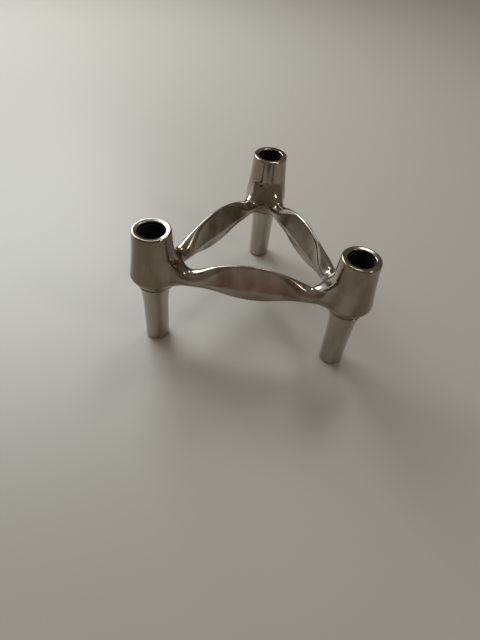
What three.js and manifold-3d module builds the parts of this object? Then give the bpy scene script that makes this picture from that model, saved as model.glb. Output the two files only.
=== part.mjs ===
// Three-cup metal candle holder. Three tapered cups stand over three slim legs, and three
// straight leaf-shaped arms tie the cups into a triangle. Millimetres, +Z up. The origin is on
// the table, under the middle of the holder's bounding box.

import * as THREE from 'three';
import { mergeVertices } from 'three/addons/utils/BufferGeometryUtils.js';
import Module from 'manifold-3d';

const wasm = await Module();
wasm.setup();

// Driving dimensions of the whole holder.
const HEIGHT = 67; // table to cup rim
const CUP_CIRCLE = 53.6; // radius of the circle through the three cup axes
const FIT_GAP = 0.3; // clearance between one piece and the next

// Cup: a cone with a round lower corner, bored for a candle or for another holder's leg.
const RIM_RADIUS = 9.1;
const RIM_ROUND = 1.0;
const WAIST_RADIUS = 10; // outside of the cup part of the way down
const WAIST_Z = 52;
const BELLY_RADIUS = 11.4; // widest point of the cup
const BELLY_Z = 43.5;
const SEAT_RADIUS = 7.6; // flat underside that sits on the leg
const SEAT_Z = 36.3;
const MOUTH_RADIUS = 6.4; // inside of the rolled lip
const LIP_DEPTH = 1.6;
const BORE_RADIUS = 7.25; // behind the lip, where the liner snaps in
const BORE_FLOOR_Z = 43.3;
const CUP_SIDES = 24;

// Liner: a thin black sleeve with a closed bottom.
const LINER_WALL = 0.7;
const LINER_FLOOR = 1.0;

// Leg: a tapered spigot with a flared shoulder and a stud that screws into the cup.
const FOOT_RADIUS = 5.78;
const FOOT_ROUND = 1.2;
const LEG_TOP_RADIUS = 6.0;
const LEG_TOP_Z = 27;
const SHOULDER_RADIUS = 7.9;
const STUD_RADIUS = 3;
const STUD_LENGTH = 5.2;
const LEG_SIDES = 20;

// Arm: round necks that flare into the cups, with a tall four-sided leaf between them.
const NECK_RADIUS = 4.2;
const NECK_Z = 41.8;
const NECK_START = 22; // distance from the arm's middle where the leaf has become a neck
const FLARE_START = 26; // distance where the neck starts to widen towards the cup
const FLARE_GROWTH = 3.4; // how much the neck's radius gains at the cup's wall
const LEAF_TOP_Z = 53.6;
const LEAF_BOTTOM_Z = 32.9;
const LEAF_HALF_WIDTH = 4.6;
const LEAF_EDGE_ARC = 49.5; // radius of the leaf's upper and lower edges, seen from the side
const LEAF_RIDGE_Z = 42.6;
const LEAF_SHARPNESS = 1.12; // section exponent: 1 is four flat faces, 2 is round
const ARM_SIDES = 16;
const ARM_STATIONS = 26;
const SPIGOT_RADIUS = 2.2; // pin on each end of an arm
const SPIGOT_LENGTH = 3.2;
const SPIGOT_SIDES = 12;

const chrome = new THREE.MeshStandardMaterial({ color: 0xb0a698, roughness: 0.08, metalness: 1 });
const satin = new THREE.MeshStandardMaterial({ color: 0x9c9284, roughness: 0.22, metalness: 1 });
const black = new THREE.MeshStandardMaterial({ color: 0x0b0b0b, roughness: 0.6, metalness: 0 });

// Booleans work on closed solids whose shared vertices are merged.
function solidFrom(geometry) {
  const bare = geometry.index ? geometry.toNonIndexed() : geometry.clone();
  bare.deleteAttribute('normal');
  bare.deleteAttribute('uv');
  const merged = mergeVertices(bare, 1e-4);
  const mesh = new wasm.Mesh({
    numProp: 3,
    vertProperties: new Float32Array(merged.attributes.position.array),
    triVerts: new Uint32Array(merged.index.array),
  });
  mesh.merge();
  return new wasm.Manifold(mesh);
}

function geometryFrom(solid) {
  const mesh = solid.getMesh();
  const geometry = new THREE.BufferGeometry();
  geometry.setAttribute('position', new THREE.BufferAttribute(mesh.vertProperties, 3));
  geometry.setIndex(new THREE.BufferAttribute(mesh.triVerts, 1));
  geometry.computeVertexNormals();
  return geometry;
}

// Turns an outline drawn as (radius, height) round the vertical axis.
function turned(outline, sides) {
  const geometry = new THREE.LatheGeometry(outline, sides);
  geometry.rotateX(Math.PI / 2);
  return geometry;
}

// The cup's outside from the seat up to the rim, grown outwards by an allowance.
function cupOutside(allowance) {
  const cornerRise = BELLY_Z - SEAT_Z;
  const cornerRun = BELLY_RADIUS - SEAT_RADIUS;
  const outline = new THREE.Path();
  outline.moveTo(SEAT_RADIUS, SEAT_Z - allowance);
  outline.absellipse(SEAT_RADIUS, BELLY_Z, cornerRun + allowance, cornerRise + allowance,
    -Math.PI / 2, 0, false, 0);
  outline.quadraticCurveTo(WAIST_RADIUS + allowance, WAIST_Z,
    RIM_RADIUS + allowance, HEIGHT - RIM_ROUND);
  return outline;
}

// An outline is sampled finely enough for its arcs, and repeated points are dropped.
function outlinePoints(outline) {
  const points = outline.getPoints(4);
  return points.filter((point, i) => i === 0 || point.distanceTo(points[i - 1]) > 0.02);
}

// The cup's outline climbs the outside and comes down the inside, so its faces point outwards.
function cupGeometry() {
  const studHole = STUD_RADIUS + FIT_GAP;
  const studHoleTop = SEAT_Z + STUD_LENGTH + FIT_GAP;
  const outside = cupOutside(0);
  outside.absarc(RIM_RADIUS - RIM_ROUND, HEIGHT - RIM_ROUND, RIM_ROUND, 0, Math.PI / 2, false);
  const outline = [
    new THREE.Vector2(0, studHoleTop),
    new THREE.Vector2(studHole, studHoleTop),
    new THREE.Vector2(studHole, SEAT_Z),
    ...outlinePoints(outside),
    new THREE.Vector2(MOUTH_RADIUS + 0.9, HEIGHT),
    new THREE.Vector2(MOUTH_RADIUS, HEIGHT - 1),
    new THREE.Vector2(MOUTH_RADIUS, HEIGHT - LIP_DEPTH + 0.4),
    new THREE.Vector2(BORE_RADIUS, HEIGHT - LIP_DEPTH),
    new THREE.Vector2(BORE_RADIUS, BORE_FLOOR_Z),
    new THREE.Vector2(0, BORE_FLOOR_Z),
  ];
  return turned(outline, CUP_SIDES);
}

function linerGeometry() {
  const outer = BORE_RADIUS - FIT_GAP;
  const bottom = BORE_FLOOR_Z + FIT_GAP;
  const top = HEIGHT - LIP_DEPTH - FIT_GAP;
  const outline = [
    new THREE.Vector2(0, bottom),
    new THREE.Vector2(outer, bottom),
    new THREE.Vector2(outer, top),
    new THREE.Vector2(outer - LINER_WALL, top),
    new THREE.Vector2(outer - LINER_WALL, bottom + LINER_FLOOR),
    new THREE.Vector2(0, bottom + LINER_FLOOR),
  ];
  return turned(outline, LEG_SIDES);
}

function legGeometry() {
  const shoulderTop = SEAT_Z - FIT_GAP;
  const outside = new THREE.Path();
  outside.moveTo(FOOT_RADIUS - FOOT_ROUND, 0);
  outside.absarc(FOOT_RADIUS - FOOT_ROUND, FOOT_ROUND, FOOT_ROUND, -Math.PI / 2, 0, false);
  outside.lineTo(LEG_TOP_RADIUS, LEG_TOP_Z);
  outside.quadraticCurveTo(LEG_TOP_RADIUS + 0.25, shoulderTop - 1.6, SHOULDER_RADIUS, shoulderTop);
  const outline = [
    new THREE.Vector2(0, 0),
    ...outlinePoints(outside),
    new THREE.Vector2(STUD_RADIUS, shoulderTop),
    new THREE.Vector2(STUD_RADIUS, shoulderTop + STUD_LENGTH),
    new THREE.Vector2(0, shoulderTop + STUD_LENGTH),
  ];
  return turned(outline, LEG_SIDES);
}

// Half sizes and sharpness of an arm's section at a distance from the arm's middle.
function armSection(distance) {
  const sag = LEAF_EDGE_ARC - Math.sqrt(LEAF_EDGE_ARC ** 2 - Math.min(distance, 30) ** 2);
  const neck = THREE.MathUtils.smoothstep(distance, 0.55 * NECK_START, NECK_START);
  const flareSpan = cupDistance - BELLY_RADIUS - FLARE_START;
  const flare = Math.max(0, (distance - FLARE_START) / flareSpan);
  const radius = NECK_RADIUS + FLARE_GROWTH * Math.min(flare, 1.2) ** 2;
  return {
    centre: THREE.MathUtils.lerp(LEAF_RIDGE_Z, NECK_Z, neck),
    up: Math.max(LEAF_TOP_Z - sag - LEAF_RIDGE_Z, radius),
    down: Math.max(LEAF_RIDGE_Z - sag * 1.05 - LEAF_BOTTOM_Z, radius),
    side: THREE.MathUtils.lerp(LEAF_HALF_WIDTH, radius, neck),
    sharpness: THREE.MathUtils.lerp(LEAF_SHARPNESS, 2, neck),
  };
}

// A cylinder along X whose rings are pulled out to the arm's section.
function armBlank(halfLength) {
  const blank = new THREE.CylinderGeometry(1, 1, 2 * halfLength, ARM_SIDES, ARM_STATIONS);
  blank.rotateZ(Math.PI / 2);
  const position = blank.attributes.position;
  for (let i = 0; i < position.count; i += 1) {
    const section = armSection(Math.abs(position.getX(i)));
    const power = 2 / section.sharpness;
    const y = position.getY(i);
    const z = position.getZ(i);
    const half = z > 0 ? section.up : section.down;
    position.setY(i, Math.sign(y) * Math.abs(y) ** power * section.side);
    position.setZ(i, section.centre + Math.sign(z) * Math.abs(z) ** power * half);
  }
  return blank;
}

// Arms are made lying along X at y = 0, with the middle of the holder on the +Y side.
const cupDistance = CUP_CIRCLE * Math.sin(Math.PI / 3);
const armOffset = CUP_CIRCLE * Math.cos(Math.PI / 3);
const spigotReach = BELLY_RADIUS + FIT_GAP - SPIGOT_LENGTH;

// The mitre where two arms meet on the line from a cup to the middle of the holder.
function mitreBlock(end) {
  const size = 60;
  const block = new THREE.BoxGeometry(size, size, size);
  block.translate(0, (size - FIT_GAP) / 2, NECK_Z);
  block.rotateZ(-end * Math.PI / 6);
  block.translate(end * cupDistance, 0, 0);
  return block;
}

function spigot(end, radius, reach) {
  const length = BELLY_RADIUS + 2 - reach;
  const pin = new THREE.CylinderGeometry(radius, radius, length, SPIGOT_SIDES);
  pin.rotateZ(Math.PI / 2);
  pin.translate(end * (cupDistance - reach - length / 2), 0, NECK_Z);
  return pin;
}

function cupKeepOut() {
  const outline = [
    new THREE.Vector2(0, SEAT_Z - FIT_GAP),
    ...outlinePoints(cupOutside(FIT_GAP)),
    new THREE.Vector2(0, HEIGHT - RIM_ROUND),
  ];
  return solidFrom(turned(outline, CUP_SIDES));
}

// A leg's flared shoulder is kept clear of the arms by the same gap.
function legKeepOut() {
  const outline = [
    new THREE.Vector2(0, 20),
    new THREE.Vector2(SHOULDER_RADIUS + FIT_GAP, 20),
    new THREE.Vector2(SHOULDER_RADIUS + FIT_GAP, SEAT_Z),
    new THREE.Vector2(0, SEAT_Z),
  ];
  return solidFrom(turned(outline, CUP_SIDES));
}

function armGeometry() {
  let arm = solidFrom(armBlank(cupDistance - 8));
  for (const end of [-1, 1]) {
    arm = arm.subtract(solidFrom(mitreBlock(end)));
    arm = arm.subtract(cupKeepOut().translate([end * cupDistance, 0, 0]));
    arm = arm.subtract(legKeepOut().translate([end * cupDistance, 0, 0]));
    arm = arm.add(solidFrom(spigot(end, SPIGOT_RADIUS, spigotReach)));
  }
  return geometryFrom(arm);
}

// A cup made with its two spigot sockets, for arms that leave it 30 degrees either side of -Y.
function socketedCupGeometry() {
  let cup = solidFrom(cupGeometry());
  for (const side of [-1, 1]) {
    const socket = solidFrom(spigot(1, SPIGOT_RADIUS + FIT_GAP, spigotReach - FIT_GAP));
    const turn = -90 + side * 30;
    cup = cup.subtract(socket.translate([-cupDistance, 0, 0]).rotate([0, 0, turn + 180]));
  }
  return geometryFrom(cup);
}

const holder = new THREE.Group();
holder.name = 'candle_holder';
const middle = new THREE.Group();
middle.position.y = -CUP_CIRCLE / 4;
holder.add(middle);

function addMesh(group, name, geometry, material) {
  const mesh = new THREE.Mesh(geometry, material);
  mesh.name = name;
  group.add(mesh);
}

const cup = socketedCupGeometry();
const liner = linerGeometry();
const leg = legGeometry();
const corners = { back: 0, left: 120, right: -120 };
for (const [corner, degrees] of Object.entries(corners)) {
  const turn = THREE.MathUtils.degToRad(degrees);
  const station = new THREE.Group();
  station.position.set(-CUP_CIRCLE * Math.sin(turn), CUP_CIRCLE * Math.cos(turn), 0);
  station.rotation.z = turn;
  addMesh(station, `cup_${corner}`, cup, chrome);
  addMesh(station, `cup_liner_${corner}`, liner, black);
  addMesh(station, `leg_${corner}`, leg, satin);
  middle.add(station);
}

const arm = armGeometry();
const sides = { front: 0, right: 120, left: -120 };
for (const [side, degrees] of Object.entries(sides)) {
  const turn = THREE.MathUtils.degToRad(degrees);
  const station = new THREE.Group();
  station.rotation.z = turn;
  station.position.set(armOffset * Math.sin(turn), -armOffset * Math.cos(turn), 0);
  addMesh(station, `arm_${side}`, arm, chrome);
  middle.add(station);
}

export default holder;
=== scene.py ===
import math

import bpy
import numpy as np
from mathutils import Matrix, Vector


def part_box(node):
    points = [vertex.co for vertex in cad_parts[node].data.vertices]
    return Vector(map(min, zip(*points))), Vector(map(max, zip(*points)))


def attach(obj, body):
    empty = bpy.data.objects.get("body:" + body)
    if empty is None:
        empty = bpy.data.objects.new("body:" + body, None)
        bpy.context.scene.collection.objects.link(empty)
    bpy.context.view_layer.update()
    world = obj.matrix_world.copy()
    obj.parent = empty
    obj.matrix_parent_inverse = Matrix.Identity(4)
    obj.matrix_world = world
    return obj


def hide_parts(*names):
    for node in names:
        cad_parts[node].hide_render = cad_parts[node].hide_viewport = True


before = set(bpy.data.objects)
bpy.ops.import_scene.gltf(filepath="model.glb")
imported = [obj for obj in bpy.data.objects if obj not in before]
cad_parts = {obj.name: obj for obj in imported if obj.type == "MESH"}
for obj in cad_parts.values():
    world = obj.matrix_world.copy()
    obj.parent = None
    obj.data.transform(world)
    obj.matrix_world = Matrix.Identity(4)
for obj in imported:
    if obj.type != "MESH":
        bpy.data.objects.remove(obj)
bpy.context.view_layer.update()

# ---------------------------------------------------------------------------------------------
# Polished plating
# The cups, legs and arms are nickel-chrome plated and mirror polished. The finish is a touch
# uneven in roughness, carries painted reflection bands in its colour, and is duller where the
# cups and arms face the holder's middle.
# ---------------------------------------------------------------------------------------------

MM = 0.001
CORNERS = ("back", "left", "right")


def box_middle(node):
    low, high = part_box(node)
    return (low + high) / 2


def box_radius(node):
    low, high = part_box(node)
    return max(high.x - low.x, high.y - low.y) / 2


CUP_AXIS = {corner: box_middle(f"cup_{corner}") for corner in CORNERS}
holder_middle = sum(CUP_AXIS.values(), Vector()) / 3

SMEAR_RANGE = (0.35, 0.75)
BAND_RANGE = (0.40, 0.60)
FULLY_DULL_REACH, FULLY_BRIGHT_REACH = 0.030, 0.044
RIPPLE_SCALE, RIPPLE_HEIGHT = 420.0, 0.00006


def new_group(name, inputs, outputs):
    """A shader node group with (name, kind, value) inputs and (name, kind) outputs."""
    tree = bpy.data.node_groups.new(name, "ShaderNodeTree")
    for label, kind, value in inputs:
        socket = tree.interface.new_socket(label, in_out="INPUT", socket_type=kind)
        socket.default_value = value
    for label, kind in outputs:
        tree.interface.new_socket(label, in_out="OUTPUT", socket_type=kind)
    return tree


def finish_and_bands_group():
    """Smeared roughness, duller towards the holder's middle, painted reflection bands for the colour
    and a shallow ripple.
    """
    tree = new_group(
        "finish_and_painted_bands",
        [("Smooth", "NodeSocketFloat", 0.05), ("Dull", "NodeSocketFloat", 0.14),
         ("Smear Size", "NodeSocketFloat", 90.0), ("Upright", "NodeSocketFloat", 1.0),
         ("Ripple", "NodeSocketFloat", 0.04), ("Middle Dull", "NodeSocketFloat", 0.0)],
        [("Roughness", "NodeSocketFloat"), ("Tint", "NodeSocketFloat"),
         ("Normal", "NodeSocketVector")])
    nodes, links = tree.nodes, tree.links
    given = nodes.new("NodeGroupInput")
    result = nodes.new("NodeGroupOutput")
    where = nodes.new("ShaderNodeTexCoord")
    smears = nodes.new("ShaderNodeTexNoise")
    smears.inputs["Detail"].default_value = 3.0
    smears.inputs["Roughness"].default_value = 0.55
    links.new(where.outputs["Object"], smears.inputs["Vector"])
    links.new(given.outputs["Smear Size"], smears.inputs["Scale"])
    spread = nodes.new("ShaderNodeMapRange")
    spread.inputs["From Min"].default_value, spread.inputs["From Max"].default_value = SMEAR_RANGE
    links.new(smears.outputs["Fac"], spread.inputs["Value"])
    links.new(given.outputs["Smooth"], spread.inputs["To Min"])
    links.new(given.outputs["Dull"], spread.inputs["To Max"])
    outward = nodes.new("ShaderNodeVectorMath")
    outward.operation = "SUBTRACT"
    outward.inputs[1].default_value = (holder_middle.x, holder_middle.y, 0)
    links.new(where.outputs["Object"], outward.inputs[0])
    level = nodes.new("ShaderNodeVectorMath")
    level.operation = "MULTIPLY"
    level.inputs[1].default_value = (1, 1, 0)
    links.new(outward.outputs["Vector"], level.inputs[0])
    reach = nodes.new("ShaderNodeVectorMath")
    reach.operation = "LENGTH"
    links.new(level.outputs["Vector"], reach.inputs[0])
    fade = nodes.new("ShaderNodeMapRange")
    fade.interpolation_type = "SMOOTHSTEP"
    fade.inputs["From Min"].default_value = FULLY_BRIGHT_REACH
    fade.inputs["From Max"].default_value = FULLY_DULL_REACH
    fade.inputs["To Min"].default_value = 0.0
    links.new(reach.outputs["Value"], fade.inputs["Value"])
    links.new(given.outputs["Middle Dull"], fade.inputs["To Max"])
    rough = nodes.new("ShaderNodeMath")
    links.new(spread.outputs["Result"], rough.inputs[0])
    links.new(fade.outputs["Result"], rough.inputs[1])
    links.new(rough.outputs["Value"], result.inputs["Roughness"])
    drawn = nodes.new("ShaderNodeCombineXYZ")
    drawn.inputs["X"].default_value = 1.0
    drawn.inputs["Y"].default_value = 1.0
    links.new(given.outputs["Upright"], drawn.inputs["Z"])
    along = nodes.new("ShaderNodeVectorMath")
    along.operation = "MULTIPLY"
    links.new(where.outputs["Object"], along.inputs[0])
    links.new(drawn.outputs["Vector"], along.inputs[1])
    # Colour streaks stretched upright: painted reflection bands of the room on the plating.
    reflection_bands = nodes.new("ShaderNodeTexNoise")
    reflection_bands.inputs["Detail"].default_value = 3.0
    links.new(along.outputs["Vector"], reflection_bands.inputs["Vector"])
    links.new(given.outputs["Smear Size"], reflection_bands.inputs["Scale"])
    band_share = nodes.new("ShaderNodeMapRange")
    band_share.inputs["From Min"].default_value, band_share.inputs["From Max"].default_value = BAND_RANGE
    links.new(reflection_bands.outputs["Fac"], band_share.inputs["Value"])
    links.new(band_share.outputs["Result"], result.inputs["Tint"])
    ripple = nodes.new("ShaderNodeTexNoise")
    ripple.inputs["Scale"].default_value = RIPPLE_SCALE
    ripple.inputs["Detail"].default_value = 1.0
    links.new(where.outputs["Object"], ripple.inputs["Vector"])
    bump = nodes.new("ShaderNodeBump")
    bump.inputs["Distance"].default_value = RIPPLE_HEIGHT
    links.new(given.outputs["Ripple"], bump.inputs["Strength"])
    links.new(ripple.outputs["Fac"], bump.inputs["Height"])
    links.new(bump.outputs["Normal"], result.inputs["Normal"])
    return tree


FINISH_AND_BANDS = finish_and_bands_group()


def plated(name, pale, deep, smooth, dull, smear_size, upright, ripple, middle_dull):
    """Polished plating whose colour is mixed between two warm greys in painted reflection bands."""
    material = bpy.data.materials.new(name)
    material.use_nodes = True
    nodes, links = material.node_tree.nodes, material.node_tree.links
    shader = nodes["Principled BSDF"]
    shader.inputs["Metallic"].default_value = 1.0
    finish = nodes.new("ShaderNodeGroup")
    finish.node_tree = FINISH_AND_BANDS
    for label, value in (("Smooth", smooth), ("Dull", dull), ("Smear Size", smear_size),
                         ("Upright", upright), ("Ripple", ripple), ("Middle Dull", middle_dull)):
        finish.inputs[label].default_value = value
    band_mix = nodes.new("ShaderNodeMix")
    band_mix.data_type = "RGBA"
    band_mix.inputs["A"].default_value = pale
    band_mix.inputs["B"].default_value = deep
    links.new(finish.outputs["Tint"], band_mix.inputs["Factor"])
    links.new(band_mix.outputs["Result"], shader.inputs["Base Color"])
    links.new(finish.outputs["Roughness"], shader.inputs["Roughness"])
    links.new(finish.outputs["Normal"], shader.inputs["Normal"])
    return material


# ---------------------------------------------------------------------------------------------
# Cups
# Each cup is a turned metal cone with a rolled lip, a blind bore for the candle and a round
# lower corner. Its flat seat is screwed down on the leg.
# ---------------------------------------------------------------------------------------------

RIM_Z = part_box("cup_back")[1].z / MM
SEAT_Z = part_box("cup_back")[0].z / MM
BELLY_RADIUS = box_radius("cup_back") / MM
CORNER_ROUND, CORNER_RISE, CORNER_Z = 2.6, 3.2, 39.6
BELLY_Z = CORNER_Z + CORNER_RISE
WAIST_RADIUS, WAIST_Z = 10.0, 52.0
RIM_RADIUS, RIM_ROUND = 9.1, 0.9
SEAT_RADIUS, SEAT_EDGE_STRIP = 8.0, 0.3
SEAT_CONTROL_OUT, SEAT_CONTROL_DROP = 0.3, 0.5
MOUTH_RADIUS, MOUTH_ROUND = 6.4, 0.5
LAND_DROP = 0.2
LIP_DEPTH, LIP_SLOPE = 1.6, 0.4
BORE_RADIUS = 7.25
BORE_FLOOR_Z = 43.3
STUD_HOLE_RADIUS, STUD_HOLE_DEPTH = 3.3, 5.5
TURNED_SIDES = 144


def arc(centre, radii, start, end, steps):
    """Points along part of an ellipse, angles in degrees from the outward direction."""
    turns = np.radians(np.linspace(start, end, steps + 1))
    return [(centre[0] + radii[0] * math.cos(t), centre[1] + radii[1] * math.sin(t)) for t in turns]


def bend(start, control, end, steps):
    """Points along a quadratic curve."""
    points = []
    for t in np.linspace(0, 1, steps + 1):
        a, b, c = (1 - t) ** 2, 2 * t * (1 - t), t * t
        points.append((a * start[0] + b * control[0] + c * end[0],
                       a * start[1] + b * control[1] + c * end[1]))
    return points


def straight(start, end, steps):
    return [tuple(p) for p in np.linspace(start, end, steps + 1)]


def joined(*runs):
    """One outline from several runs of points, with repeated points dropped."""
    points = [p for run in runs for p in run]
    kept = [points[0]]
    for p in points[1:]:
        if math.dist(p, kept[-1]) > 1e-4:
            kept.append(p)
    return kept


def cup_outside():
    """The cup's outline from the edge of its seat up to the crest of its rim."""
    return joined(
        bend((SEAT_RADIUS, SEAT_Z), (SEAT_RADIUS + SEAT_CONTROL_OUT, CORNER_Z - SEAT_CONTROL_DROP),
             (BELLY_RADIUS - CORNER_ROUND, CORNER_Z), 12),
        arc((BELLY_RADIUS - CORNER_ROUND, BELLY_Z), (CORNER_ROUND, CORNER_RISE), -90, 0, 16),
        bend((BELLY_RADIUS, BELLY_Z), (WAIST_RADIUS, WAIST_Z), (RIM_RADIUS, RIM_Z - RIM_ROUND), 28),
        arc((RIM_RADIUS - RIM_ROUND, RIM_Z - RIM_ROUND), (RIM_ROUND, RIM_ROUND), 0, 90, 10))


def cup_outline():
    """The whole cup's outline, from the top of its stud hole to the floor of its bore."""
    land_end = (MOUTH_RADIUS + MOUTH_ROUND, RIM_Z - LAND_DROP)
    return joined(
        [(0, SEAT_Z + STUD_HOLE_DEPTH), (STUD_HOLE_RADIUS, SEAT_Z + STUD_HOLE_DEPTH),
         (STUD_HOLE_RADIUS, SEAT_Z), (SEAT_RADIUS - SEAT_EDGE_STRIP, SEAT_Z)],
        cup_outside(),
        straight((RIM_RADIUS - RIM_ROUND, RIM_Z), land_end, 4),
        arc((land_end[0], land_end[1] - MOUTH_ROUND), (MOUTH_ROUND, MOUTH_ROUND), 90, 180, 8),
        straight((MOUTH_RADIUS, RIM_Z - 0.9), (MOUTH_RADIUS, RIM_Z - LIP_DEPTH + LIP_SLOPE), 2),
        [(BORE_RADIUS, RIM_Z - LIP_DEPTH)],
        straight((BORE_RADIUS, RIM_Z - LIP_DEPTH - 0.2), (BORE_RADIUS, BORE_FLOOR_Z), 6),
        [(0, BORE_FLOOR_Z)])


def turning_tree():
    """Geometry Nodes that turn an outline object round the vertical axis."""
    tree = bpy.data.node_groups.new("turned_piece", "GeometryNodeTree")
    tree.interface.new_socket("Outline", in_out="INPUT", socket_type="NodeSocketObject")
    tree.interface.new_socket("Rows", in_out="INPUT", socket_type="NodeSocketInt")
    tree.interface.new_socket("Sides", in_out="INPUT", socket_type="NodeSocketInt")
    tree.interface.new_socket("Axis", in_out="INPUT", socket_type="NodeSocketVector")
    tree.interface.new_socket("Finish", in_out="INPUT", socket_type="NodeSocketMaterial")
    tree.interface.new_socket("Geometry", in_out="OUTPUT", socket_type="NodeSocketGeometry")
    nodes, links = tree.nodes, tree.links
    given = nodes.new("NodeGroupInput")
    result = nodes.new("NodeGroupOutput")

    def maths(operation, a, b=0.0):
        node = nodes.new("ShaderNodeMath")
        node.operation = operation
        for socket, value in zip(node.inputs, (a, b)):
            if isinstance(value, (int, float)):
                socket.default_value = value
            else:
                links.new(value, socket)
        return node.outputs["Value"]

    columns = maths("ADD", given.outputs["Sides"], 1)
    sheet = nodes.new("GeometryNodeMeshGrid")
    links.new(columns, sheet.inputs["Vertices X"])
    links.new(given.outputs["Rows"], sheet.inputs["Vertices Y"])
    index = nodes.new("GeometryNodeInputIndex").outputs["Index"]
    column = maths("FLOOR", maths("DIVIDE", maths("ADD", index, 0.5), given.outputs["Rows"]))
    row = maths("SUBTRACT", index, maths("MULTIPLY", column, given.outputs["Rows"]))
    turn = maths("MULTIPLY", maths("DIVIDE", column, given.outputs["Sides"]), 2 * math.pi)
    shape = nodes.new("GeometryNodeObjectInfo")
    links.new(given.outputs["Outline"], shape.inputs["Object"])
    point = nodes.new("GeometryNodeSampleIndex")
    point.data_type = "FLOAT_VECTOR"
    position = nodes.new("GeometryNodeInputPosition").outputs["Position"]
    links.new(shape.outputs["Geometry"], point.inputs["Geometry"])
    links.new(position, point.inputs["Value"])
    links.new(row, point.inputs["Index"])
    split = nodes.new("ShaderNodeSeparateXYZ")
    links.new(point.outputs["Value"], split.inputs["Vector"])
    place = nodes.new("ShaderNodeCombineXYZ")
    links.new(maths("MULTIPLY", split.outputs["X"], maths("COSINE", turn)), place.inputs["X"])
    links.new(maths("MULTIPLY", split.outputs["X"], maths("SINE", turn)), place.inputs["Y"])
    links.new(split.outputs["Z"], place.inputs["Z"])
    shift = nodes.new("ShaderNodeVectorMath")
    links.new(place.outputs["Vector"], shift.inputs[0])
    links.new(given.outputs["Axis"], shift.inputs[1])
    wrap = nodes.new("GeometryNodeSetPosition")
    links.new(sheet.outputs["Mesh"], wrap.inputs["Geometry"])
    links.new(shift.outputs["Vector"], wrap.inputs["Position"])
    close = nodes.new("GeometryNodeMergeByDistance")
    close.inputs["Distance"].default_value = 1e-7
    links.new(wrap.outputs["Geometry"], close.inputs["Geometry"])
    smooth = nodes.new("GeometryNodeSetShadeSmooth")
    links.new(close.outputs["Geometry"], smooth.inputs["Geometry"])
    real = nodes.new("GeometryNodeRealizeInstances")
    links.new(smooth.outputs["Geometry"], real.inputs["Geometry"])
    coat = nodes.new("GeometryNodeSetMaterial")
    links.new(real.outputs["Geometry"], coat.inputs["Geometry"])
    links.new(given.outputs["Finish"], coat.inputs["Material"])
    links.new(coat.outputs["Geometry"], result.inputs["Geometry"])
    return tree


TURNING = turning_tree()


def set_inputs(modifier, values):
    for item in modifier.node_group.interface.items_tree:
        if item.in_out == "INPUT" and item.name in values:
            modifier[item.identifier] = values[item.name]


def plain_mesh(source, name):
    """The evaluated shape of an object as a new mesh object that carries no modifiers."""
    bpy.context.view_layer.update()
    graph = bpy.context.evaluated_depsgraph_get()
    mesh = bpy.data.meshes.new_from_object(source.evaluated_get(graph))
    mesh.name = name
    piece = bpy.data.objects.new(name, mesh)
    bpy.context.scene.collection.objects.link(piece)
    return piece


def turned_piece(name, outline, axis, finish, sides=TURNED_SIDES):
    """A piece turned from an outline in millimetres about the vertical line through axis."""
    shape = bpy.data.meshes.new("outline")
    points = [(r * MM, 0, z * MM) for r, z in outline]
    shape.from_pydata(points, [(i, i + 1) for i in range(len(points) - 1)], [])
    guide = bpy.data.objects.new("outline", shape)
    bpy.context.scene.collection.objects.link(guide)
    blank = bpy.data.objects.new("blank", bpy.data.meshes.new("blank"))
    bpy.context.scene.collection.objects.link(blank)
    lathe = blank.modifiers.new("lathe", "NODES")
    lathe.node_group = TURNING
    set_inputs(lathe, {"Outline": guide, "Rows": len(points), "Sides": sides,
                       "Axis": (axis.x, axis.y, 0), "Finish": finish})
    piece = plain_mesh(blank, name)
    bpy.data.objects.remove(blank)
    bpy.data.objects.remove(guide)
    return piece


def fit(piece, node):
    """The piece stands for its CAD node and rides on the one body."""
    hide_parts(node)
    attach(piece, "root")


# The cups and arms take a darker copy of the legs' plating: painted shade for the darker reflections
# they show.
plating_painted_shade = plated("plating_painted_shade", (0.40, 0.36, 0.305, 1), (0.27, 0.22, 0.165, 1), smooth=0.07,
                        dull=0.22, smear_size=90.0, upright=0.4, ripple=0.08, middle_dull=0.12)
for corner in CORNERS:
    cup = turned_piece(f"tapered_cup_{corner}", cup_outline(), CUP_AXIS[corner], plating_painted_shade)
    fit(cup, f"cup_{corner}")


# ---------------------------------------------------------------------------------------------
# Cup liners
# A thin moulded black sleeve lines each bore, so that candles and stacked legs don't rattle.
# It snaps in under the rolled lip.
# ---------------------------------------------------------------------------------------------

LINER_RADIUS = box_radius("cup_liner_back") / MM
LINER_WALL, LINER_FLOOR = 0.7, 1.0
LINER_FOOT_ROUND, LINER_EDGE_ROUND, LINER_INNER_ROUND = 0.4, 0.35, 0.6
LINER_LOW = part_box("cup_liner_back")[0].z / MM
LINER_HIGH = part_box("cup_liner_back")[1].z / MM


def liner_outline():
    inner = LINER_RADIUS - LINER_WALL
    floor = LINER_LOW + LINER_FLOOR
    return joined(
        [(0, LINER_LOW), (LINER_RADIUS - LINER_FOOT_ROUND, LINER_LOW)],
        arc((LINER_RADIUS - LINER_FOOT_ROUND, LINER_LOW + LINER_FOOT_ROUND),
            (LINER_FOOT_ROUND, LINER_FOOT_ROUND), -90, 0, 4),
        straight((LINER_RADIUS, LINER_LOW + 1), (LINER_RADIUS, LINER_HIGH - 0.4), 4),
        arc(((LINER_RADIUS + inner) / 2, LINER_HIGH - LINER_EDGE_ROUND),
            (LINER_EDGE_ROUND, LINER_EDGE_ROUND), 0, 180, 8),
        straight((inner, LINER_HIGH - 1), (inner, floor + 0.8), 8),
        arc((inner - LINER_INNER_ROUND, floor + LINER_INNER_ROUND),
            (LINER_INNER_ROUND, LINER_INNER_ROUND), 0, -90, 5),
        [(0, floor)])


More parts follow.
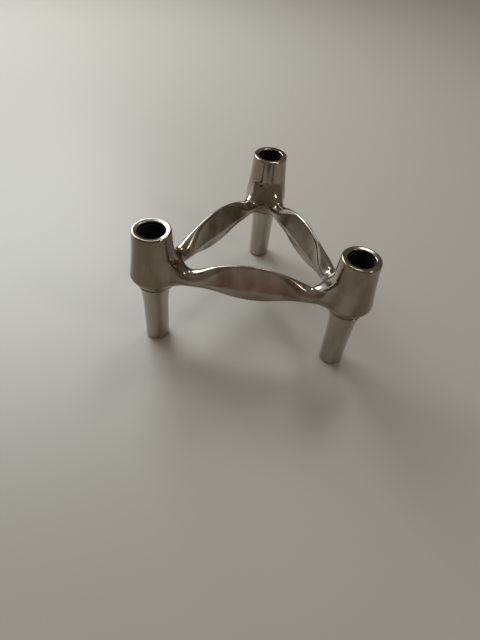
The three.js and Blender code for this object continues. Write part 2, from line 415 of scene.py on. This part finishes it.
def moulded_black(name):
    """Matte black plastic with a fine moulded grain that varies its colour and roughness."""
    material = bpy.data.materials.new(name)
    material.use_nodes = True
    nodes, links = material.node_tree.nodes, material.node_tree.links
    shader = nodes["Principled BSDF"]
    where = nodes.new("ShaderNodeTexCoord")
    grain = nodes.new("ShaderNodeTexNoise")
    grain.inputs["Scale"].default_value = 1800.0
    grain.inputs["Detail"].default_value = 2.0
    links.new(where.outputs["Object"], grain.inputs["Vector"])
    shade = nodes.new("ShaderNodeValToRGB")
    shade.color_ramp.elements[0].color = (0.002, 0.002, 0.002, 1)
    shade.color_ramp.elements[1].color = (0.006, 0.006, 0.0055, 1)
    links.new(grain.outputs["Fac"], shade.inputs["Fac"])
    links.new(shade.outputs["Color"], shader.inputs["Base Color"])
    dull = nodes.new("ShaderNodeMapRange")
    dull.inputs["To Min"].default_value = 0.7
    dull.inputs["To Max"].default_value = 0.9
    links.new(grain.outputs["Fac"], dull.inputs["Value"])
    links.new(dull.outputs["Result"], shader.inputs["Roughness"])
    bump = nodes.new("ShaderNodeBump")
    bump.inputs["Strength"].default_value = 0.4
    bump.inputs["Distance"].default_value = 0.00005
    links.new(grain.outputs["Fac"], bump.inputs["Height"])
    links.new(bump.outputs["Normal"], shader.inputs["Normal"])
    return material


liner_black = moulded_black("liner_black")
for corner in CORNERS:
    liner = turned_piece(f"bore_liner_{corner}", liner_outline(), CUP_AXIS[corner], liner_black)
    fit(liner, f"cup_liner_{corner}")


# ---------------------------------------------------------------------------------------------
# Legs
# Each leg is a turned, slightly tapered spigot with a softly rounded foot. It flares into a
# shoulder under the cup, and a stud on top of it screws into the cup's seat.
# ---------------------------------------------------------------------------------------------

FOOT_RADIUS, FOOT_ROUND = 5.9, 1.2
LEG_TOP_RADIUS, LEG_TOP_Z = 6.15, 20.0
SEAT_GAP = 0.12
SHOULDER_RADIUS, SHOULDER_ROUND = 8.1, 0.25
SHOULDER_Z = SEAT_Z - SEAT_GAP
SHOULDER_CONTROL_DROP = 6.0
STUD_RADIUS, STUD_CHAMFER = 3.0, 0.4
STUD_TOP_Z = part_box("leg_back")[1].z / MM


def leg_outside():
    """The leg's outline from the flat of its foot up to the edge of its shoulder."""
    return joined(
        arc((FOOT_RADIUS - FOOT_ROUND, FOOT_ROUND), (FOOT_ROUND, FOOT_ROUND), -90, 0, 10),
        straight((FOOT_RADIUS, FOOT_ROUND), (LEG_TOP_RADIUS, LEG_TOP_Z), 12),
        bend((LEG_TOP_RADIUS, LEG_TOP_Z),
             (LEG_TOP_RADIUS + 0.1, SHOULDER_Z - SHOULDER_CONTROL_DROP),
             (SHOULDER_RADIUS, SHOULDER_Z - SHOULDER_ROUND), 22),
        arc((SHOULDER_RADIUS - SHOULDER_ROUND, SHOULDER_Z - SHOULDER_ROUND),
            (SHOULDER_ROUND, SHOULDER_ROUND), 0, 90, 5))


def leg_outline():
    """The whole leg's outline, from the middle of its foot to the top of its stud."""
    return joined(
        [(0, 0)],
        leg_outside(),
        [(STUD_RADIUS, SHOULDER_Z), (STUD_RADIUS, STUD_TOP_Z - STUD_CHAMFER),
         (STUD_RADIUS - STUD_CHAMFER, STUD_TOP_Z), (0, STUD_TOP_Z)])


leg_plating = plated("leg_plating", (0.45, 0.42, 0.375, 1), (0.37, 0.33, 0.28, 1),
                     smooth=0.10, dull=0.24, smear_size=90.0, upright=0.2, ripple=0.06,
                     middle_dull=0.0)
for corner in CORNERS:
    leg = turned_piece(f"spigot_leg_{corner}", leg_outline(), CUP_AXIS[corner], leg_plating)
    fit(leg, f"leg_{corner}")


# ---------------------------------------------------------------------------------------------
# Arms
# Each arm is a cast bar: a tall leaf with four hollowed faces and thin edges, drawn down to a
# round neck at each end. The necks flow into the cups in polished fillets and meet in a mitre.
# ---------------------------------------------------------------------------------------------

CUP_SPAN = (CUP_AXIS["right"].x - CUP_AXIS["left"].x) / 2 / MM
NECK_RADIUS, NECK_Z = 4.2, 41.8
LEAF_TOP_Z, LEAF_BOTTOM_Z, RIDGE_Z = 53.6, 32.9, 41.6
LEAF_EDGE_ARC = 49.5
LEAF_HALF_WIDTH = 3.75
EDGE_HALF = 0.55
LEAF_BOW, ROUND_BOW = 1.1, 2
LEAF_BLEND = 1.6
NECKING_START, SAG_END = 12, 34
DISH_LENGTH = 24.0
DISH_DEPTH = 0.25
EDGE_STRIP = 0.7
FLARE_START = 25.0
FILLET_ABOVE, FILLET_BELOW, FILLET_OUTER = 10.0, 4.4, 0.8
FILLET_INNER_SIDE, FILLET_RISE = (-6.0, 3.0), (38, 53)
WEB_FILLET = 7.0
WEB_LENGTH = 8.8
CONTACT = 0.003
SINK = 0.01
LEAF_ROWS = 72
FLARE_ROWS = 44
ARM_COLUMNS = 160
WALK_STEP, WALK_STEPS = 0.35, 80
SEARCH_REACH, SEARCH_ROUNDS = 24.0, 26


def smooth_step(low, high, value):
    t = np.clip((value - low) / (high - low), 0, 1)
    return t * t * (3 - 2 * t)


def soft_max(a, b, blend):
    gap = np.abs(a - b)
    return np.maximum(a, b) + np.maximum(blend - gap, 0) ** 2 / (4 * blend)


def arm_section(x):
    """Ridge height, half sizes, bow and half edge of the arm's section, x from its middle."""
    x = np.abs(x)
    sag = LEAF_EDGE_ARC - np.sqrt(LEAF_EDGE_ARC ** 2 - np.minimum(x, SAG_END) ** 2)
    necked = smooth_step(NECKING_START, DISH_LENGTH, x)
    ridge = RIDGE_Z + (NECK_Z - RIDGE_Z) * necked
    up = soft_max(LEAF_TOP_Z - sag - ridge, NECK_RADIUS + 0 * x, LEAF_BLEND)
    down = soft_max(ridge - sag - LEAF_BOTTOM_Z, NECK_RADIUS + 0 * x, LEAF_BLEND)
    wide = LEAF_HALF_WIDTH + (NECK_RADIUS - LEAF_HALF_WIDTH) * necked
    bow = LEAF_BOW + (ROUND_BOW - LEAF_BOW) * necked
    return ridge, up, down, wide, bow, EDGE_HALF * (1 - necked)


def round_field(across, height, past, wide, half, bow):
    """Near enough the distance to a rounded section, with its end past the cup's axis."""
    radial = np.sqrt(across ** 2 + height ** 2 + past ** 2)
    scale = ((across / wide) ** bow + (height / half) ** bow + (past / wide) ** bow) ** (1 / bow)
    return radial * (1 - 1 / np.maximum(scale, 1e-6))


def arm_field(x, y, z):
    """Below 0 inside the arm's own bar, and close to a distance outside it."""
    ridge, up, down, wide, bow, edge = arm_section(x)
    past = np.maximum(np.abs(x) - CUP_SPAN, 0)
    half = np.where(z > ridge, up, down)
    height = np.abs(z - ridge)
    level = np.clip(height / half, 0, 0.9999)
    tip = np.clip(1 - (half - height) / np.maximum(edge, 1e-6), 0, 1)
    rounding = edge * np.sqrt(1 - tip ** 2)
    body = (wide - edge) * (1 - level ** bow) ** (1 / bow) + rounding
    reach = np.clip(1 - (np.abs(x) / DISH_LENGTH) ** 3, 0, 1) ** 0.6
    dish_height = np.maximum((half - EDGE_STRIP) * reach, 1e-6)
    share = np.clip(height / dish_height, 0, 1)
    rim_level = np.clip(dish_height / half, 0, 0.9999)
    rim = (wide - edge) * (1 - rim_level ** bow) ** (1 / bow) + edge
    chord = wide + (rim - wide) * share - 4 * DISH_DEPTH * reach * share * (1 - share)
    thick = np.where(height < dish_height, np.minimum(body, chord), body)
    hollowed = -round_field(thick, level * half, 0 * past, wide, half, bow)
    return round_field(np.abs(y), height, past, wide, half, bow) + hollowed


def outline_distance(outline, r, z):
    """Signed distance in the (radius, height) plane to a closed outline, below 0 inside."""
    nearest = np.full(r.shape, np.inf)
    inside = np.zeros(r.shape, bool)
    for (r0, z0), (r1, z1) in zip(outline, outline[1:] + outline[:1]):
        dr, dz = r1 - r0, z1 - z0
        t = np.clip(((r - r0) * dr + (z - z0) * dz) / (dr * dr + dz * dz), 0, 1)
        nearest = np.minimum(nearest, (r - r0 - t * dr) ** 2 + (z - z0 - t * dz) ** 2)
        crosses = (z0 > z) != (z1 > z)
        at = r0 + (z - z0) * dr / (dz if dz else 1)
        inside ^= crosses & (r < at)
    return np.where(inside, -1, 1) * np.sqrt(nearest)


def fillet_union(a, b, radius):
    """Joins two fields with a round fillet."""
    hollow = np.hypot(np.maximum(radius - a, 0), np.maximum(radius - b, 0))
    return np.maximum(radius, np.minimum(a, b)) - hollow


corner_outline = joined([(0, 0)], leg_outside(), [(SEAT_RADIUS, SHOULDER_Z)], cup_outside(),
                        [(0, RIM_Z)])


def corner_field(x, y, z):
    """The leg and cup that stand at the arm's +X end."""
    return outline_distance(corner_outline, np.hypot(x - CUP_SPAN, y), z)


def web_field(x, y, z):
    """A short round stub from the cup's axis towards the middle of the holder."""
    turn = math.radians(30)
    along = (CUP_SPAN - x) * math.cos(turn) + y * math.sin(turn)
    across = -(CUP_SPAN - x) * math.sin(turn) + y * math.cos(turn)
    past = np.maximum(along - WEB_LENGTH, 0)
    return np.sqrt(across ** 2 + past ** 2 + (z - NECK_Z) ** 2) - NECK_RADIUS


def bars_field(x, y, z):
    """The arm, its neighbour at the +X cup and the web between them."""
    turn = math.radians(60)
    along = (CUP_SPAN - x) * math.cos(turn) + y * math.sin(turn)
    across = -(CUP_SPAN - x) * math.sin(turn) + y * math.cos(turn)
    both = fillet_union(arm_field(x, y, z), arm_field(CUP_SPAN - along, across, z), WEB_FILLET)
    return fillet_union(both, web_field(x, y, z), WEB_FILLET)


def corner_fillet(x, y, z):
    """The fillets that join the bars to the corner are full above and on its inner side."""
    inward = (CUP_SPAN - x) * math.cos(math.radians(30)) + y / 2
    inner = FILLET_BELOW + (FILLET_ABOVE - FILLET_BELOW) * smooth_step(*FILLET_RISE, z)
    return FILLET_OUTER + (inner - FILLET_OUTER) * smooth_step(*FILLET_INNER_SIDE, inward)


def joint_field(x, y, z):
    return fillet_union(bars_field(x, y, z), corner_field(x, y, z), corner_fillet(x, y, z))


def to_run(x, y, z):
    """What is left before a point reaches the mitre, or the cup or leg's own surface."""
    mitre = (CUP_SPAN - x) / 2 - y * math.cos(math.radians(30))
    touching = 50 * (corner_field(x, y, z) - CONTACT)
    return np.minimum(mitre, np.minimum(touching, corner_fillet(x, y, z) - bars_field(x, y, z)))


def bar_points(x, spin):
    """Points on the arm at x, in directions spin round its section, by bisection outwards."""
    ridge, up, down, wide = arm_section(x)[:4]
    across = np.sin(spin) * wide
    rise = np.cos(spin)
    rise = rise * np.where(rise > 0, up, down)
    heading = np.stack([0 * x, across, rise], -1)
    heading /= np.linalg.norm(heading, axis=-1, keepdims=True)
    axis = np.stack([x, 0 * x, ridge], -1)
    near, far = np.zeros_like(x), np.full_like(x, SEARCH_REACH)
    for _ in range(SEARCH_ROUNDS):
        mid = (near + far) / 2
        at = axis + heading * mid[..., None]
        inside = joint_field(at[..., 0], at[..., 1], at[..., 2]) < 0
        near = np.where(inside, mid, near)
        far = np.where(inside, far, mid)
    return axis + heading * ((near + far) / 2)[..., None]


class Column:
    """Half planes through the arm's axis, one for each point of a ring round its neck."""

    def __init__(self, ring):
        self.across, self.rise = ring[:, 1], ring[:, 2] - NECK_Z
        self.start = ring[:, 0], np.hypot(self.across, self.rise)
        self.across = self.across / self.start[1]
        self.rise = self.rise / self.start[1]

    def place(self, x, reach):
        return x, reach * self.across, NECK_Z + reach * self.rise

    def slope(self, x, reach):
        """The joint's field and its slopes along the half plane."""
        small = 1e-3
        here = joint_field(*self.place(x, reach))
        ahead = joint_field(*self.place(x + small, reach))
        above = joint_field(*self.place(x, reach + small))
        return here, (ahead - here) / small, (above - here) / small

    def settle(self, x, reach, rounds=3):
        """Moves points straight on to the joint's surface."""
        for _ in range(rounds):
            here, along, out = self.slope(x, reach)
            pull = here / (along ** 2 + out ** 2)
            x, reach = x - pull * along, reach - pull * out
        return x, reach

    def walk(self):
        """Even steps over the surface from the neck towards the cup."""
        x, reach = self.start
        way = np.array([np.ones_like(x), np.zeros_like(x)])
        path = [np.array([x, reach])]
        for _ in range(WALK_STEPS):
            _, along, out = self.slope(x, reach)
            turn = np.array([-out, along]) / np.hypot(along, out)
            way = turn * np.where((turn * way).sum(0) < 0, -1, 1)
            x, reach = self.settle(x + WALK_STEP * way[0], reach + WALK_STEP * way[1])
            path.append(np.array([x, reach]))
        return np.array(path)


def flare(ring):
    """Rows of points from a ring on the neck to where the blended surface ends."""
    column = Column(ring)
    path = column.walk()
    left = np.array([to_run(*column.place(x, reach)) for x, reach in path])
    moved = np.hypot(*np.moveaxis(np.diff(path, axis=0), 1, 0))
    left[1:][moved < WALK_STEP / 2] = -SINK
    after = np.argmax(left < 0, 0)
    every = np.arange(len(after))
    before = left[after - 1, every]
    length = after - 1 + before / (before - left[after, every])
    rows = []
    for share in np.linspace(0, 1, FLARE_ROWS + 1)[1:]:
        at = share * length
        low = np.floor(at).astype(int)
        part = at - low
        x, reach = (path[low, :, every] * (1 - part)[:, None]
                    + path[low + 1, :, every] * part[:, None]).T
        x, reach = column.settle(x, reach)
        x = np.minimum(x, CUP_SPAN - math.sqrt(3) * reach * column.across)
        rows.append(np.stack(column.place(x, reach), -1))
    return rows


def arm_half():
    """Rings of points from the arm's middle to its +X end, then in over the hidden end face."""
    spin = np.arange(ARM_COLUMNS) * 2 * math.pi / ARM_COLUMNS
    spin = spin - 0.2 * np.sin(2 * spin)
    x = np.linspace(0, FLARE_START, LEAF_ROWS + 1)[:, None] + 0 * spin
    bar = bar_points(x, np.tile(spin, (LEAF_ROWS + 1, 1)))
    rings = list(bar) + flare(bar[-1])
    end = rings[-1]
    root = np.array([CUP_SPAN - BELLY_RADIUS - 0.3, 0, NECK_Z])
    rings += [clear_of_corner(end + (root - end) * share) for share in (0.03, 0.12, 0.35, 0.65)]
    return rings, root


def clear_of_corner(points):
    """Moves points that lie inside the cup or leg straight out to their surface."""
    out = points.copy()
    for _ in range(6):
        depth = corner_field(out[:, 0], out[:, 1], out[:, 2])
        away = np.stack([out[:, 0] - CUP_SPAN, out[:, 1]], -1)
        away /= np.linalg.norm(away, axis=-1, keepdims=True)
        out[:, :2] += away * np.maximum(-SINK - depth, 0)[:, None]
    return out


def end_normals(ring):
    """The true slope of the joint's surface round the ring where the arm stops."""
    steps = np.eye(3) * 1e-3
    slope = np.stack([joint_field(*(ring + step).T) - joint_field(*(ring - step).T)
                      for step in steps], -1)
    return slope / np.linalg.norm(slope, axis=-1, keepdims=True)


def arm_shape():
    """The whole arm along X at y = 0, with the normals of the corners on its two end rings."""
    half, root = arm_half()
    mirror = np.array([-1, 1, 1])
    rings = [ring * mirror for ring in half[:0:-1]] + half
    points = np.concatenate([np.stack(rings).reshape(-1, 3), [root * mirror], [root]])
    across = np.arange(ARM_COLUMNS)
    beside = (across + 1) % ARM_COLUMNS
    low = np.arange(len(rings) - 1)[:, None] * ARM_COLUMNS
    high = low + ARM_COLUMNS
    sides = np.stack([low + across, high + across, high + beside, low + beside], -1)
    first, final = len(points) - 2, len(points) - 1
    tail = final - 1 - ARM_COLUMNS
    caps = [(first, i, j) for i, j in zip(across, beside)]
    caps += [(final, tail + j, tail + i) for i, j in zip(across, beside)]
    faces = [tuple(int(v) for v in face) for face in list(sides.reshape(-1, 4)) + caps]
    normals = np.zeros((4 * sides.shape[0] * ARM_COLUMNS + 3 * len(caps), 3))
    corners = normals[:4 * sides.shape[0] * ARM_COLUMNS].reshape(-1, ARM_COLUMNS, 4, 3)
    reach = LEAF_ROWS + FLARE_ROWS
    slope = end_normals(half[reach])
    middle = len(half) - 1
    corners[middle + reach - 1, :, 1] = slope
    corners[middle + reach - 1, :, 2] = slope[beside]
    corners[middle - reach, :, 0] = slope * mirror
    corners[middle - reach, :, 3] = slope[beside] * mirror
    return points, faces, normals


ARM_TURN = {"front": 0.0, "right": 120.0, "left": -120.0}
points, faces, normals = arm_shape()
front_line = (CUP_AXIS["left"] + CUP_AXIS["right"]) / 2 - holder_middle
for side, degrees in ARM_TURN.items():
    turned = np.array(Matrix.Rotation(math.radians(degrees), 3, "Z"))
    placed = (points * MM + [0, front_line.y, 0]) @ turned.T
    placed += [holder_middle.x, holder_middle.y, 0]
    mesh = bpy.data.meshes.new(f"leaf_arm_{side}")
    mesh.from_pydata(placed.tolist(), [], faces)
    mesh.shade_smooth()
    mesh.normals_split_custom_set((normals @ turned.T).tolist())
    mesh.materials.append(plating_painted_shade)
    arm = bpy.data.objects.new(f"leaf_arm_{side}", mesh)
    bpy.context.scene.collection.objects.link(arm)
    fit(arm, f"arm_{side}")


# ---------------------------------------------------------------------------------------------
# Table, light and camera
# A plain pale table top in a dim warm room with one bright side, two cool window lights, a small
# warm lamp, and a camera that looks down on the holder from the front.
# ---------------------------------------------------------------------------------------------

def table_top():
    """A flat pale top that ends 0.23 m in front of the holder's origin."""
    mesh = bpy.data.meshes.new("table_top")
    far, near = 2.2, -0.23
    mesh.from_pydata([(-far, near, 0), (far, near, 0), (far, far, 0), (-far, far, 0)],
                     [], [(0, 1, 2, 3)])
    top = bpy.data.objects.new("table_top", mesh)
    bpy.context.scene.collection.objects.link(top)
    material = bpy.data.materials.new("table_top")
    material.use_nodes = True
    shader = material.node_tree.nodes["Principled BSDF"]
    shader.inputs["Base Color"].default_value = (0.475, 0.44, 0.385, 1)
    shader.inputs["Roughness"].default_value = 0.42
    mesh.materials.append(material)


def soft_light(name, place, aim, size, power, colour):
    light = bpy.data.lights.new(name, "AREA")
    light.shape = "RECTANGLE"
    light.size, light.size_y = size
    light.energy = power
    light.color = colour
    lamp = bpy.data.objects.new(name, light)
    lamp.location = place
    lamp.rotation_euler = (Vector(aim) - Vector(place)).to_track_quat("-Z", "Y").to_euler()
    bpy.context.scene.collection.objects.link(lamp)


def room():
    """A dim warm room, lighter above, with a bright cool side and a dim reddish one in front."""
    world = bpy.data.worlds.new("room")
    world.use_nodes = True
    nodes, links = world.node_tree.nodes, world.node_tree.links
    where = nodes.new("ShaderNodeTexCoord")
    split = nodes.new("ShaderNodeSeparateXYZ")
    links.new(where.outputs["Generated"], split.inputs["Vector"])

    def side(weights, low, high):
        facing = nodes.new("ShaderNodeVectorMath")
        facing.operation = "DOT_PRODUCT"
        links.new(where.outputs["Generated"], facing.inputs[0])
        facing.inputs[1].default_value = weights
        step = nodes.new("ShaderNodeMapRange")
        step.interpolation_type = "SMOOTHSTEP"
        step.inputs["From Min"].default_value = low
        step.inputs["From Max"].default_value = high
        links.new(facing.outputs["Value"], step.inputs["Value"])
        return step.outputs["Result"]

    def blend(share, below, colour):
        mix = nodes.new("ShaderNodeMix")
        mix.data_type = "RGBA"
        links.new(share, mix.inputs["Factor"])
        links.new(below, mix.inputs["A"])
        mix.inputs["B"].default_value = colour
        return mix.outputs["Result"]

    ramp = nodes.new("ShaderNodeValToRGB")
    ramp.color_ramp.elements[0].position = 0.3
    ramp.color_ramp.elements[0].color = (0.15, 0.125, 0.10, 1)
    ramp.color_ramp.elements[1].position = 1.0
    ramp.color_ramp.elements[1].color = (0.25, 0.23, 0.195, 1)
    links.new(split.outputs["Z"], ramp.inputs["Fac"])
    windows = blend(side((-0.88, 0.42, 0.22), 0.72, 0.96), ramp.outputs["Color"],
                    (0.75, 0.83, 0.90, 1))
    around = blend(side((0, -1, -0.35), 0.85, 0.98), windows, (0.24, 0.15, 0.14, 1))
    links.new(around, nodes["Background"].inputs["Color"])
    bpy.context.scene.world = world


def camera():
    """A wide lens close above the holder's front, slightly rolled."""
    data = bpy.data.cameras.new("camera")
    data.lens = 27.6
    data.sensor_width = 36
    data.clip_start, data.clip_end = 0.01, 20
    body = bpy.data.objects.new("camera", data)
    azimuth, elevation, roll = (math.radians(d) for d in (2.358, 46.518, 6.404))
    back = Vector((math.sin(azimuth) * math.cos(elevation),
                   -math.cos(azimuth) * math.cos(elevation), math.sin(elevation)))
    body.location = Vector((0.00377, -0.19858 + holder_middle.y, 0.19897))
    turn = (-back).to_track_quat("-Z", "Y").to_matrix() @ Matrix.Rotation(roll, 3, "Z")
    body.rotation_euler = turn.to_euler()
    bpy.context.scene.collection.objects.link(body)
    bpy.context.scene.camera = body


table_top()
room()
soft_light("window", (-0.42, 0.42, 0.47), (-0.14, 0.12, 0.0), (0.50, 0.40), 4.2, (0.88, 0.95, 1))
soft_light("second_window", (0.12, 0.40, 0.82), (0, 0, 0.03), (0.16, 0.26), 0.9, (0.95, 0.98, 1))
soft_light("lamp", (0.55, -0.25, 0.60), (0, 0, 0.03), (0.12, 0.12), 0.5, (1, 0.90, 0.78))
camera()
bpy.context.scene.view_settings.view_transform = "Standard"
